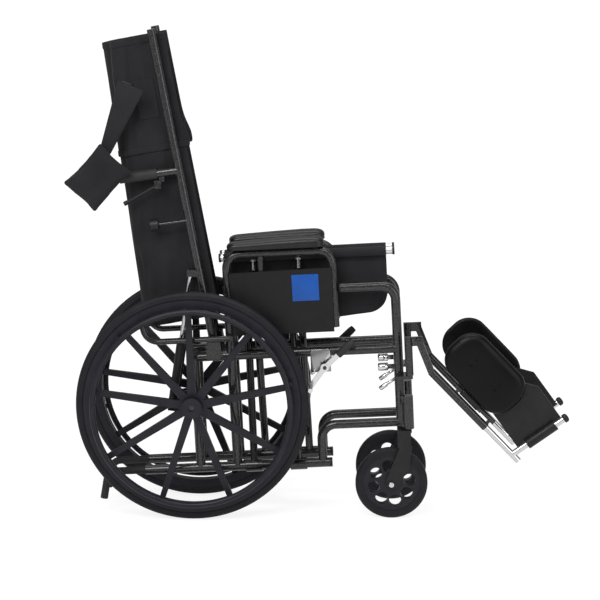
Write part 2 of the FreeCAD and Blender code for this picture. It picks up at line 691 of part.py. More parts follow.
# Legrests: swing-away hanger, elevating tube, sliding extension, footplate and calf pad
def legrest(side):
    pitch = FreeCAD.Rotation(V3(0, 1, 0), -D["frame_pitch"])
    low = D["hanger_low"]
    high = D["hanger_high"]
    reach = D["hanger_reach"]
    out = D["leg_offset"]
    post = rod(frame(reach, low, out, side), frame(reach, high, out, side), "hanger_radius")
    k = knee(side)
    lug_out = block(frame((reach + D["knee_reach"]) / 2, D["knee_rise"], out, side),
                    (D["knee_reach"] - reach + 20, 8, 24), pitch)
    pin = rod(*across(k, side, 0, 17), "knee_pin")
    hole = rod(frame(reach, low - 1, out, side), frame(reach, low + 72, out, side), "hanger_pin")
    hole.setExpression("Radius", "Dimensions.hanger_pin + Dimensions.running_clearance")
    keep(cut(fuse([post, lug_out, pin]), [hole]), name_for("legrest_hanger", side))
    start = leg_start(side)
    along = leg_direction()
    shift = V3(0, side * 8, 0)
    eye = rod(*across(k, side, 4.4, 13), "hanger_radius")
    sine, cosine = turn(D["knee_link_angle"])
    lean = V3(sine, 0, cosine) * 9
    link = plate([k - lean, start - lean, start + lean, k + lean], 7, V3(0, 1, 0))
    link.Placement = FreeCAD.Placement(shift, FreeCAD.Rotation())
    outer = rod(start, start + along * D["leg_tube_length"], "leg_tube_radius")
    normal = leg_normal()
    hinge_at = start + normal * D["calf_hinge_rise"] + along * (D["calf_start"] + 50)
    hinge = rod(hinge_at, hinge_at + along * D["calf_hinge_length"], "calf_hinge_radius")
    foot = [block(start + along * (D["calf_start"] + 62 + n) + normal * 13, (8, 8, 16),
                  FreeCAD.Rotation(V3(0, 1, 0), D["leg_angle"])) for n in (0, D["calf_hinge_length"] - 24)]
    bores = [rod(*across(k, side, 0, 20), "knee_pin"),
             rod(start + along * 12, start + along * (D["leg_tube_length"] + 1), "extension_radius")]
    bores[0].setExpression("Radius", "Dimensions.knee_pin + Dimensions.running_clearance")
    bores[1].setExpression("Radius", "Dimensions.extension_radius + Dimensions.running_clearance")
    keep(cut(fuse([eye, link, outer, hinge] + foot), bores), name_for("leg_tube", side))
    toe = toe_start(side)
    ahead = toe_direction()
    slide = rod(toe - along * D["extension_length"] + along * 24, toe + along * 24, "extension_radius")
    bar = rod(toe, toe + ahead * D["toe_length"], "extension_radius")
    keep(fuse([slide, bar]), name_for("leg_extension", side))
    # Footplate turned up beside the leg, its sleeve round the toe bar
    up = V3(-ahead.z, 0, ahead.x)
    first = toe + ahead * D["toe_back"]
    last = toe + ahead * (D["toe_length"] - 12)
    sleeve = rod(first + ahead * 26, last - ahead * 22, "footplate_sleeve")
    deep = up * D["footplate_depth"]
    inward = V3(0, -side * D["footplate_in"], 0)
    corners = [first, last, last + deep * 0.72, last + deep - ahead * 34, first + deep]
    blade = plate([corner + inward for corner in corners], D["footplate_thick"], V3(0, 1, 0))
    gap = rod(first - ahead * 40, last + ahead * 40, "extension_radius")
    gap.setExpression("Radius", "Dimensions.extension_radius + Dimensions.running_clearance")
    keep(cut(fuse([sleeve, blade]), [gap]), name_for("footplate", side))
    # Calf pad standing beside the leg, with a sleeve on its hinge bar
    pad = doc.addObject("Part::Feature", "CalfPad")
    length = D["calf_length"]
    width = D["calf_width"]
    box = Part.makeBox(length, D["calf_thick"], width, V3(0, side * D["calf_out"] - D["calf_thick"] / 2, 8))
    corner = [e for e in box.Edges if abs(e.tangentAt(e.FirstParameter).y) > 0.9]
    box = box.makeFillet(min(width, length) * 0.4, corner)
    face = [e for e in box.Edges if e.CenterOfMass.y * side > D["calf_out"] + D["calf_thick"] / 2 - 0.01]
    box = box.makeFillet(D["calf_thick"] * 0.4, face)
    reach = D["calf_start"] + 70
    sleeve = Part.makeCylinder(D["calf_hinge_radius"] + 5, 64, V3(reach, 0, 0), V3(1, 0, 0))
    neck = Part.makeBox(64, 8, 22, V3(reach, side * 3 - 4, 0))
    bore_radius = D["calf_hinge_radius"] + D["running_clearance"]
    bore = Part.makeCylinder(bore_radius, length + 200, V3(-90, 0, 0), V3(1, 0, 0))
    pad.Shape = box.fuse([sleeve, neck]).cut(bore).removeSplitter()
    turned = FreeCAD.Rotation(V3(0, 1, 0), D["leg_angle"])
    pad.Placement = FreeCAD.Placement(start + normal * D["calf_hinge_rise"], turned)
    keep(pad, name_for("calf_pad", side))


# Reclining back: canes with handles, grips, release levers and locking struts
def back(side):
    pivot = recline_pivot(side)
    top = on_cane(side, D["cane_length"])
    handle = on_cane(side, D["handle_height"])
    sine, cosine = turn(D["handle_drop"])
    rear = V3(-cosine, 0, -sine)
    cane = rod(pivot, top, "cane_radius")
    boss = rod(*across(pivot, side, -12, 12), "cane_radius")
    boss.setExpression("Radius", "Dimensions.cane_radius + 3")
    bar = rod(handle, handle + rear * D["handle_length"], "cane_radius")
    bracket = block(handle + rear * 52 + V3(6, 0, -12.5), (14, 10, 19))
    hinge = handle + rear * 56 + V3(0, 0, -30)
    cheeks = [plate([hinge + V3(-9, side * out, -9), hinge + V3(9, side * out, -9),
                     hinge + V3(9, side * out, 12), hinge + V3(-9, side * out, 12)],
                    D["pivot_plate"], V3(0, 1, 0)) for out in (-7, 7)]
    lever_pin = rod(*across(hinge, side, -9, 9), "lever_pin")
    upper = strut_end(side, D["strut_upper_angle"])
    knob_at = on_cane(side, D["knob_height"])
    stem_root = knob_at + V3(0, side * 6, 0)
    stem_end = stem_root + rear * (D["knob_reach"] - 12)
    stem = rod(stem_root, stem_end, "strut_pin")
    knob = rod(stem_end, stem_end + rear * 20, "knob_radius")
    ear = [plate([upper + V3(-9, side * out, -9), upper + V3(20, side * out, -9),
                  upper + V3(20, side * out, 9), upper + V3(-9, side * out, 9)],
                 D["pivot_plate"], V3(0, 1, 0)) for out in (-9.5, 9.5)]
    pin = rod(*across(upper, side, -11, 11), "strut_pin")
    clear = rod(*across(pivot, side, -20, 20), "pivot_pin")
    clear.setExpression("Radius", "Dimensions.pivot_pin + Dimensions.running_clearance")
    whole = fuse([cane, boss, bar, bracket, stem, lever_pin, pin] + cheeks + ear)
    keep(cut(whole, [clear]), name_for("back_cane", side))
    keep(knob, name_for("back_knob", side))
    sleeve = rod(handle + rear * (D["handle_length"] - D["grip_length"]),
                 handle + rear * (D["handle_length"] + 6), "grip_radius")
    inside = rod(handle, handle + rear * D["handle_length"], "cane_radius")
    keep(cut(sleeve, [inside]), name_for("push_grip", side))

    # Release lever on its pin under the handle
    lever_sine, lever_cosine = turn(30)
    lever_end = hinge + V3(-lever_cosine, 0, -lever_sine) * D["lever_length"]
    lever = rod(hinge, lever_end, "strut_pin")
    ball = rod(lever_end, lever_end + V3(-lever_cosine, 0, -lever_sine) * 10, "rod_radius")
    ball.setExpression("Radius", "Dimensions.rod_radius + 1")
    eye = rod(*across(hinge, side, -4.2, 4.2), "lever_eye")
    hole = rod(*across(hinge, side, -10, 10), "lever_pin")
    hole.setExpression("Radius", "Dimensions.lever_pin + Dimensions.running_clearance")
    keep(cut(fuse([lever, ball, eye]), [hole]), name_for("release_lever", side))

    # Locking strut: a cylinder on the frame and a rod on the cane, always in line
    lower = strut_end(side, D["strut_lower_angle"])
    along = (upper - lower).normalize()
    body = rod(lower + along * (D["strut_eye"] - 2), lower + along * D["cylinder_length"], "cylinder_radius")
    foot = rod(*across(lower, side, -8, 8), "strut_eye")
    inner = rod(lower + along * (D["strut_eye"] + 3), lower + along * (D["cylinder_length"] + 1),
                "rod_radius")
    inner.setExpression("Radius", "Dimensions.rod_radius + Dimensions.running_clearance")
    hole = rod(*across(lower, side, -10, 10), "strut_pin")
    hole.setExpression("Radius", "Dimensions.strut_pin + Dimensions.running_clearance")
    keep(cut(fuse([body, foot]), [inner, hole]), name_for("strut_cylinder", side))
    stick = rod(upper - along * (D["strut_eye"] - 2), upper - along * D["rod_length"], "rod_radius")
    eye = rod(*across(upper, side, -6.5, 6.5), "strut_eye")
    hole = rod(*across(upper, side, -10, 10), "strut_pin")
    hole.setExpression("Radius", "Dimensions.strut_pin + Dimensions.running_clearance")
    keep(cut(fuse([stick, eye]), [hole]), name_for("strut_rod", side))


# Anti-tippers plugged into the lower rails
def antitip(side):
    low = -D["lower_rail_drop"]
    rear = D["lower_rail_rear"]
    tip = bent([frame(rear + 70, low, 0, side), frame(rear - D["tip_reach"], low, 0, side),
                frame(rear - D["tip_reach"] - 16, low - D["tip_drop"], 0, side)],
               D["tube_bend"] * 0.7, "tip_radius")
    return keep(tip, name_for("antitip", side))


# Cross braces: each is hinged on one lower rail and carries the opposite seat rail
def brace_frame(side):
    """The brace's foot, its direction along the tube and the way up to its seat rail, at u = 0."""
    fall = D["half_gap"] / D["brace_centre"]
    climb = math.sqrt(1 - fall * fall)
    foot = frame(0, -D["lower_rail_drop"], 0, side)
    sine, cosine = turn(D["frame_pitch"])
    up = V3(-sine, 0, cosine)
    over = V3(0, -side, 0)
    return foot, over * fall + up * climb, up * fall - over * climb


def forward(u):
    sine, cosine = turn(D["frame_pitch"])
    return V3(cosine, 0, sine) * u


def brace_places():
    """How far forward the two braces of a side stand, the second just behind the frame's loop."""
    return D["brace_rear"], D["loop_reach"] - D["brace_to_loop"]


def brace(side):
    foot, along, lift = brace_frame(side)
    shift = 0 if side == RIGHT else D["brace_spacing"]
    parts = []
    clear = []
    for u in brace_places():
        at = foot + forward(u + shift)
        parts.append(rod(at, at + along * D["brace_length"], "brace_tube"))
        half = D["sleeve_length"] / 2
        sleeve = rod(at - forward(half), at + forward(half), "tube_radius")
        sleeve.setExpression("Radius", "Dimensions.tube_radius + Dimensions.sleeve_wall")
        parts.append(sleeve)
        tip = at + along * (D["brace_length"] - 10)
        rail_at = at + along * D["rail_along"] + lift * D["rail_offset"]
        parts.append(rod(tip, rail_at, "hook_tube_radius"))
        bolt = at + along * D["brace_centre"]
        bolt_hole = rod(bolt - forward(14), bolt + forward(14), "brace_bolt")
        if side == LEFT:
            bolt_hole.setExpression("Radius", "Dimensions.brace_bolt + Dimensions.running_clearance")
        clear.append(bolt_hole)
    high = foot + along * D["rail_along"] + lift * D["rail_offset"]
    parts.append(rod(high + forward(D["rail_rear"]), high + forward(D["rail_front"]), "rail_tube"))
    axle = rod(foot + forward(D["brace_rear"] - 60), foot + forward(brace_places()[1] + 90), "tube_radius")
    axle.setExpression("Radius", "Dimensions.tube_radius + Dimensions.running_clearance")
    return keep(cut(fuse(parts), clear + [axle]), name_for("cross_brace", side))


def brace_bolts():
    foot, along, lift = brace_frame(RIGHT)
    bolts = []
    for u in brace_places():
        middle = foot + forward(u) + along * D["brace_centre"]
        bolts.append(rod(middle - forward(D["brace_tube"] + 3),
                         middle + forward(D["brace_spacing"] + D["brace_tube"] + 3), "brace_bolt"))
    return keep(group(bolts), "brace_bolts")


def rail_caps(side):
    foot, along, lift = brace_frame(side)
    high = foot + along * D["rail_along"] + lift * D["rail_offset"]
    ends = []
    for u, way in ((D["rail_rear"], -1), (D["rail_front"], 1)):
        cap = rod(high + forward(u), high + forward(u + 6 * way), "rail_tube")
        cap.setExpression("Radius", "Dimensions.rail_tube + 1.5")
        ends.append(cap)
    return keep(group(ends), name_for("rail_caps", side))


# Upholstery: slings drawn as the cloth hangs with the chair folded
def ribbon(centre_line, thick, push):
    """A sheet of even thickness: a bent centre line thickened in its plane and pushed along the chair."""
    sides = []
    for way in (-0.5, 0.5):
        shifted = []
        for n, here in enumerate(centre_line):
            before = centre_line[max(n - 1, 0)]
            after = centre_line[min(n + 1, len(centre_line) - 1)]
            run = (after - before).normalize()
            shifted.append(here + run.cross(push).normalize() * thick * way)
        sides.append(shifted)
    outline = sides[0] + sides[1][::-1]
    return Part.Face(Part.makePolygon(outline + [outline[0]])).extrude(push)


def seat_sling():
    right_foot, right_along, right_lift = brace_frame(RIGHT)
    left_foot, left_along, left_lift = brace_frame(LEFT)
    rail_left = right_foot + right_along * D["rail_along"] + right_lift * D["rail_offset"]
    rail_right = left_foot + left_along * D["rail_along"] + left_lift * D["rail_offset"]
    sine, cosine = turn(D["frame_pitch"])
    down = V3(sine, 0, -cosine)
    drop = D["rail_tube"] + D["soft_clearance"]
    half = abs(rail_left.y)
    middle = (rail_left + rail_right) * 0.5
    line = []
    steps = 14
    for n in range(steps + 1):
        share = -1 + 2 * n / steps
        depth = drop + D["seat_drop"] * (1 - abs(share) ** 2.4)
        line.append(middle + V3(0, share * half * 0.78 * abs(share) ** 0.3, 0) + down * depth)
    obj = doc.addObject("Part::Feature", "SeatSling")
    start = (D["rail_front"] + D["rail_rear"] - D["seat_depth"]) / 2
    obj.Shape = ribbon(line, D["sling_thick"], forward(D["seat_depth"]))
    obj.Placement = FreeCAD.Placement(forward(start), FreeCAD.Rotation())
    return keep(obj, "seat_sling")


def back_sling(side):
    """One half of the back cloth, from its cane round to the middle of the fold."""
    half = D["half_gap"] - D["grip_radius"] - D["soft_clearance"] - D["sling_thick"] / 2
    front = D["cane_radius"] + D["soft_clearance"] + D["sling_thick"] / 2
    low = (on_cane(RIGHT, D["back_low"]) + on_cane(LEFT, D["back_low"])) * 0.5
    back_way = cane_back()
    line = [low + V3(0, side * D["half_gap"], 0) - back_way * front,
            low + V3(0, side * (half + 4), 0) - back_way * front,
            low + V3(0, side * half, 0) - back_way * (front - 4)]
    steps = 7
    straight = D["back_depth"] - half
    for n in range(steps + 1):
        sine, cosine = turn(88 * n / steps)
        line.append(low + V3(0, side * half * cosine, 0) + back_way * (straight + half * sine))
    obj = doc.addObject("Part::Feature", "BackSling")
    obj.Shape = ribbon(line, D["sling_thick"], cane_direction() * (D["back_high"] - D["back_low"]))
    return keep(obj, name_for("back_sling", side))


def head_strap():
    out = D["grip_radius"] + D["soft_clearance"] + D["strap_thick"] / 2
    strap_top = on_cane(RIGHT, D["back_high"] - 130, 40, out)
    strap_end = on_cane(RIGHT, D["back_high"] - 300, 152, out)
    run = (strap_end - strap_top).normalize()
    wide = V3(-run.z, 0, run.x) * (D["strap_width"] / 2)
    strap = plate([strap_top - wide, strap_end - wide * 0.5, strap_end + wide * 0.5, strap_top + wide],
                  D["strap_thick"], V3(0, 1, 0))
    # The strap's folded end, sewn to the cloth behind the cane
    inner = -D["grip_radius"]
    fold = on_cane(RIGHT, D["back_high"] - 130, 40, (out + inner) / 2)
    turn_in = run * D["strap_thick"]
    tab = plate([fold - wide * 0.9, fold, fold + turn_in, fold + turn_in - wide * 0.9],
                out - inner, V3(0, 1, 0))
    centre = strap_end + run * (D["pillow_height"] * 0.44) + V3(0, -D["pillow_thick"] / 2, 0)
    lean = FreeCAD.Rotation(V3(0, 1, 0), 42)
    size = (D["pillow_width"], D["pillow_thick"], D["pillow_height"])
    obj = doc.addObject("Part::Feature", "Pillow")
    shape = Part.makeBox(*size)
    shape = shape.makeFillet(D["pillow_thick"] * 0.4, shape.Edges)
    obj.Shape = shape
    obj.Placement = FreeCAD.Placement(centre - lean.multVec(V3(*size) * 0.5), lean)
    return keep(fuse([strap, tab, obj]), "head_strap")


for label, side in SIDES:
    side_frame(side)
    frame_caps(side)
    wheel(side)
    tyre(side)
    handrim(side)
    caster_fork(side)
    caster_wheel(side)
    caster_tyre(side)
    brake(side)
    armrest(side)
    legrest(side)
    back(side)
    antitip(side)
    brace(side)
    rail_caps(side)
    back_sling(side)
brace_bolts()
seat_sling()
head_strap()
doc.recompute()

failed = [o.Name for o in doc.Objects if "Invalid" in o.State or "Error" in o.State]
if failed:
    raise RuntimeError("features failed: " + ", ".join(failed))
for obj in made:
    if obj.Shape.isNull() or not obj.Shape.isValid():
        raise RuntimeError("bad shape: " + obj.Label)
for obj in made:
    obj.Shape.exportStep("parts/" + obj.Label + ".step")
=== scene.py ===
"""Reclining wheelchair, shown folded: finishes, upholstery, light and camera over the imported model.

Lengths are in metres. The front is +X, the sitter's right is -Y and +Z is up.
"""

import json
import math

import bpy
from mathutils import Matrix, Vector, noise


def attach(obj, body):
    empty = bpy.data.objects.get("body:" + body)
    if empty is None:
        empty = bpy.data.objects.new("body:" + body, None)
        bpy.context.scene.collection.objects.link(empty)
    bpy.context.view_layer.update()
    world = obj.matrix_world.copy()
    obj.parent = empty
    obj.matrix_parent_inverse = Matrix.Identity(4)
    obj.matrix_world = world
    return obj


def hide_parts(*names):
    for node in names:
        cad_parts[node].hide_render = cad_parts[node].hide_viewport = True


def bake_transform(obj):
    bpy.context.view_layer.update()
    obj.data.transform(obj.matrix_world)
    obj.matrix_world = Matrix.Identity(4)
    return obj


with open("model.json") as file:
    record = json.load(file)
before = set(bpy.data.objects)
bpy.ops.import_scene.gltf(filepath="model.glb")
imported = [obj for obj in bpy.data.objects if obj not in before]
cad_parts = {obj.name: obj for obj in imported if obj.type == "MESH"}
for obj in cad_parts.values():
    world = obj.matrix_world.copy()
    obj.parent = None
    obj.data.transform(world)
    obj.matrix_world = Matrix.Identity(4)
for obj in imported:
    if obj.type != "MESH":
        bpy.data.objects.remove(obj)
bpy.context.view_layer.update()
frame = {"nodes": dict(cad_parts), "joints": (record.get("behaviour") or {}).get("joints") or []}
nodes = frame["nodes"]
scene = bpy.context.scene
places = {joint["name"]: Vector(joint["pos_m"]) for joint in frame["joints"] if "pos_m" in joint}

# Directions that the whole chair shares
PITCH = math.radians(3.0)
FORWARD = Vector((math.cos(PITCH), 0, math.sin(PITCH)))
UP = Vector((-math.sin(PITCH), 0, math.cos(PITCH)))
CANE_TILT = math.radians(10.7)
CANE = Vector((-math.sin(CANE_TILT), 0, math.cos(CANE_TILT)))
BACK = Vector((-math.cos(CANE_TILT), 0, -math.sin(CANE_TILT)))
LEG_ANGLE = math.radians(46.0)
LEG = Vector((math.cos(LEG_ANGLE), 0, -math.sin(LEG_ANGLE)))
LEG_NORMAL = Vector((math.sin(LEG_ANGLE), 0, math.cos(LEG_ANGLE)))
TOE_ANGLE = math.radians(36.0)
TOE = Vector((math.cos(TOE_ANGLE), 0, math.sin(TOE_ANGLE)))
WIDE = Vector((0, 1, 0))
SIDES = (("right", -1), ("left", 1))


def midline(point):
    """The same point moved to the middle of the chair."""
    return Vector((point.x, 0, point.z))


# The raised seat rails: half the distance between them, their height over the fold joint and their radius
RAIL_SIDE, RAIL_RISE, RAIL_RADIUS = 0.0262, 0.5569, 0.011
rail_zero = midline(places["fold"]) + UP * RAIL_RISE


# Materials
class Finish:
    """A Principled material with its node tree at hand."""

    def __init__(self, name, colour, roughness, metallic=0.0, **sockets):
        self.material = bpy.data.materials.new(name)
        self.material.use_nodes = True
        self.tree = self.material.node_tree
        self.shader = self.tree.nodes["Principled BSDF"]
        self.set("Base Color", (*colour, 1))
        self.set("Roughness", roughness)
        self.set("Metallic", metallic)
        for socket, value in sockets.items():
            self.set(socket.replace("_", " "), value)
        self.place = self.tree.nodes.new("ShaderNodeTexCoord").outputs["Object"]

    def set(self, socket, value):
        self.shader.inputs[socket].default_value = value

    def feed(self, value, target):
        """Links an output to an input, or writes a plain value there."""
        if isinstance(value, bpy.types.NodeSocket):
            self.tree.links.new(value, target)
        else:
            target.default_value = value

    def node(self, kind, **inputs):
        made = self.tree.nodes.new(kind)
        for key, value in inputs.items():
            self.feed(value, made.inputs[key.replace("_", " ")])
        return made

    def maths(self, operation, *values, kind="ShaderNodeMath"):
        """The result of a math node, or of a vector math node that gives one number."""
        made = self.tree.nodes.new(kind)
        made.operation = operation
        for value, target in zip(values, made.inputs):
            self.feed(value, target)
        return made.outputs["Value"]

    def noise(self, scale, detail=3.0):
        return self.node("ShaderNodeTexNoise", Vector=self.place, Scale=scale, Detail=detail).outputs["Fac"]

    def ramp(self, value, low, high, start=0.0, end=1.0):
        made = self.node("ShaderNodeValToRGB", Fac=value)
        for element, colour, position in zip(made.color_ramp.elements, (low, high), (start, end)):
            element.color = (*colour, 1)
            element.position = position
        return made.outputs["Color"]

    def colour(self, value, low, high, start=0.3, end=0.7):
        self.feed(self.ramp(value, low, high, start, end), self.shader.inputs["Base Color"])

    def rough(self, value, low, high):
        self.feed(self.ramp(value, grey(low), grey(high), start=0.3, end=0.7), self.shader.inputs["Roughness"])

    def bump(self, value, depth, strength):
        made = self.node("ShaderNodeBump", Height=value, Distance=depth, Strength=strength)
        self.feed(made.outputs["Normal"], self.shader.inputs["Normal"])


def grey(value, blue=0.0):
    return (value, value, value + blue)


def hammered():
    """Dark paint with the fine pale speckle of a hammered finish."""
    made = Finish("hammered_paint", grey(0.05), roughness=0.32, metallic=0.2, Specular_IOR_Level=0.25,
                  Coat_Weight=0.65, Coat_Roughness=0.05)
    speck = made.noise(scale=420.0, detail=2.0)
    made.colour(speck, grey(0.003), grey(0.07), start=0.5, end=0.74)
    made.bump(speck, depth=0.0003, strength=0.12)
    return made.material


def plated(name, shade, smooth, rough):
    """Metal plating that is a little uneven: its roughness wanders between two values."""
    made = Finish(name, grey(shade), roughness=smooth, metallic=1.0)
    made.rough(made.noise(scale=60.0), smooth, rough)
    return made.material


def plastic(name, dark, light, roughness, blue=0.0):
    """Moulded plastic with a fine grain, a little bluer and rougher in patches."""
    bluer, smoother, rougher = 1.4, 0.06, 0.08
    made = Finish(name, grey(dark, blue), roughness, Specular_IOR_Level=0.28)
    made.colour(made.noise(scale=35.0), grey(dark, blue), grey(light, blue * bluer))
    made.rough(made.noise(scale=20.0), roughness - smoother, roughness + rougher)
    made.bump(made.noise(scale=900.0, detail=1.0), depth=0.0002, strength=0.25)
    return made.material


def rubber(name, dark, light, blue=0.0):
    """Dull black rubber."""
    made = Finish(name, grey(dark, blue), roughness=0.62, Specular_IOR_Level=0.25)
    made.colour(made.noise(scale=28.0, detail=4.0), grey(dark, blue), grey(light, blue))
    made.bump(made.noise(scale=600.0, detail=2.0), depth=0.0003, strength=0.4)
    return made.material


def vinyl(name, dark, light, shine):
    """Black upholstery vinyl with a small leather grain."""
    made = Finish(name, grey(dark), roughness=0.36, Specular_IOR_Level=shine)
    cells = made.node("ShaderNodeTexVoronoi", Vector=made.place, Scale=520.0).outputs["Distance"]
    made.colour(made.noise(scale=14.0), grey(dark), grey(light))
    made.rough(made.noise(scale=30.0), 0.28, 0.4)
    made.bump(cells, depth=0.0004, strength=0.35)
    return made.material


def cloth(name, dark, light):
    """Woven nylon: two crossed sets of threads, with a faint violet cast."""
    cast = (1.0, 0.96, 1.08)
    made = Finish(name, grey(dark), roughness=0.75, Specular_IOR_Level=0.12, Sheen_Weight=0.06,
                  Sheen_Roughness=0.5)
    threads = []
    for way in ("X", "Z"):
        wave = made.node("ShaderNodeTexWave", Vector=made.place, Scale=260.0, Distortion=0.6)
        wave.bands_direction = way
        threads.append(wave.outputs["Fac"])
    made.colour(made.noise(scale=9.0, detail=4.0), [dark * part for part in cast], [light * part for part in cast])
    made.bump(made.maths("MAXIMUM", *threads), depth=0.0004, strength=0.3)
    return made.material


def blank_label():
    """Plain blue printed film with nothing on it."""
    made = Finish("blank_label", (0.01, 0.09, 0.38), roughness=0.35, Specular_IOR_Level=0.3)
    made.colour(made.noise(scale=25.0), (0.004, 0.058, 0.27), (0.006, 0.07, 0.32))
    return made.material


def brace_finish():
    """Painted brace tubes under plated seat rails: the finish changes at the underside of the rails."""
    made = Finish("brace_finish", grey(0.05), roughness=0.24, metallic=0.6, Coat_Weight=0.5, Coat_Roughness=0.1)
    height = made.maths("DOT_PRODUCT", made.place, UP, kind="ShaderNodeVectorMath")
    above = made.maths("GREATER_THAN", height, rail_zero.dot(UP) - RAIL_RADIUS)
    paint = made.ramp(made.noise(scale=520.0, detail=2.0), grey(0.004), grey(0.05), start=0.46, end=0.74)
    plate = made.ramp(made.noise(scale=60.0), grey(0.56), grey(0.64))
    mix = made.node("ShaderNodeMix")
    mix.data_type = "RGBA"
    made.feed(above, mix.inputs["Factor"])
    colours = [socket for socket in mix.inputs if socket.type == "RGBA"]
    made.feed(paint, colours[0])
    made.feed(plate, colours[1])
    result = [socket for socket in mix.outputs if socket.type == "RGBA"][0]
    made.feed(result, made.shader.inputs["Base Color"])
    return made.material


FRAME_PAINT = hammered()
CHROME = plated("chrome", shade=0.6, smooth=0.08, rough=0.2)
STEEL = plated("steel", shade=0.3, smooth=0.18, rough=0.32)
BLACK = plastic("black_plastic", dark=0.006, light=0.010, roughness=0.42)
WHEEL = plastic("wheel_plastic", dark=0.005, light=0.009, roughness=0.4, blue=0.004)
PANEL = plastic("panel_plastic", dark=0.002, light=0.004, roughness=0.5)
TYRE = rubber("tyre_rubber", dark=0.004, light=0.008, blue=0.003)
GRIP = rubber("grip_rubber", dark=0.014, light=0.024)
VINYL = vinyl("vinyl", dark=0.004, light=0.007, shine=0.34)
CALF_VINYL = vinyl("calf_vinyl", dark=0.002, light=0.003, shine=0.14)
CLOTH = cloth("nylon", dark=0.010, light=0.017)
STRAP = cloth("strap_nylon", dark=0.011, light=0.017)
LABEL = blank_label()

# The finish of each kind of node; the kinds not named here are black plastic
FINISHES = {
    "side_frame": FRAME_PAINT, "armrest_frame": FRAME_PAINT, "legrest_hanger": FRAME_PAINT,
    "leg_tube": FRAME_PAINT, "back_cane": FRAME_PAINT, "cross_brace": brace_finish(),
    "brake_lever": CHROME, "leg_extension": CHROME, "strut_rod": CHROME, "brace_bolts": CHROME,
    "rear_wheel": WHEEL, "caster_wheel": WHEEL, "handrim": WHEEL, "rear_tyre": TYRE, "caster_tyre": TYRE,
    "brake_grip": GRIP, "push_grip": GRIP, "antitip": GRIP, "side_panel": PANEL,
}
for name, node in nodes.items():
    kind = name.removesuffix("_right").removesuffix("_left")
    node.data.materials.clear()
    node.data.materials.append(FINISHES.get(kind, BLACK))


# Mesh helpers
def smooth_shade(mesh):
    for polygon in mesh.polygons:
        polygon.use_smooth = True


def new_piece(name, points, faces, material):
    mesh = bpy.data.meshes.new(name)
    mesh.from_pydata([tuple(point) for point in points], [], faces)
    mesh.validate()
    mesh.update()
    smooth_shade(mesh)
    mesh.materials.append(material)
    piece = bpy.data.objects.new(name, mesh)
    scene.collection.objects.link(piece)
    return piece


def grid_faces(rows, columns, closed=False):
    """Faces between rows of points; closed joins each row's last point to its first."""
    faces = []
    for row in range(rows - 1):
        for column in range(columns if closed else columns - 1):
            after = (column + 1) % columns
            faces.append((row * columns + column, row * columns + after,
                          (row + 1) * columns + after, (row + 1) * columns + column))
    return faces


def tube_faces(rings, count):
    """Faces of a stack of rings, closed at both ends."""
    last = (rings - 1) * count
    ends = [tuple(range(count))[::-1], tuple(range(last, last + count))]
    return grid_faces(rings, count, closed=True) + ends


def settle(piece):
    """Turns a piece's modifiers into its mesh."""
    bpy.context.view_layer.update()
    made = bpy.data.meshes.new_from_object(piece.evaluated_get(bpy.context.evaluated_depsgraph_get()))
    piece.modifiers.clear()
    piece.data = made
    return piece


def soften(piece):
    """Rounds a piece off by one level of subdivision."""
    smooth = piece.modifiers.new("soft", "SUBSURF")
    smooth.levels = smooth.render_levels = 1
    return settle(piece)


def thicken(piece, thick):
    """Gives a sheet its thickness, half on each side, and rounds it off."""
    solid = piece.modifiers.new("thick", "SOLIDIFY")
    solid.thickness = thick
    solid.offset = 0
    return soften(piece)


def finish_piece(piece, slot, *replaced):
    if replaced:
        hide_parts(*replaced)


def node_span(name, way):
    """How far a node reaches along a direction, from its least to its most."""
    reach = [vertex.co.dot(way) for vertex in nodes[name].data.vertices]
    return min(reach), max(reach)


# Back upholstery: each half runs from in front of its cane round to the middle of the fold.
# Heights run up the cane from the recline joint, and depths run back from it. The cloth stands CLOTH_SIDE
# off the middle and CLOTH_FRONT before the cane, and its flat width is counted with one depth, FLAT_DEPTH.
CLOTH_SIDE = 0.0380
CLOTH_FRONT = 0.030
CLOTH_THICK = 0.0022
BACK_LOW, BACK_HIGH = 0.070, 0.824
UPPER_LOW = 0.525
DEPTH_LOW, DEPTH_HIGH = 0.176, 0.134
FLAT_DEPTH = 0.147
BACK_FOOT = midline(places["recline_right"])

# The head cloth and what is sewn on it stand forward near their foot
FLARE, FLARE_RISE, FLARE_SPREAD = 0.012, 0.02, 0.04
FLARED_LIFT = 0.0015

# Wrinkles sink into the cloth. They fade out towards the front edge, and to a small share at the middle
FOLD_DEPTH, FOLD_BIAS, FOLD_CREST = 0.014, 0.8, 0.0004
FRONT_FADE, MIDDLE_FADE, MIDDLE_SHARE = 0.25, 0.15, 0.15


def wrinkles(side, along, height):
    """Broad folds, smaller ones on them, and slanting drapes."""
    broad = Vector((along * 3.2, height * 7.0, side * 4.0))
    slanting = Vector((along * 9.0 + height * 6.0, height * 2.5, side * 2.0))
    return noise.noise(broad) * 0.6 + noise.noise(broad * 2.3) * 0.3 + noise.noise(slanting) * 0.5


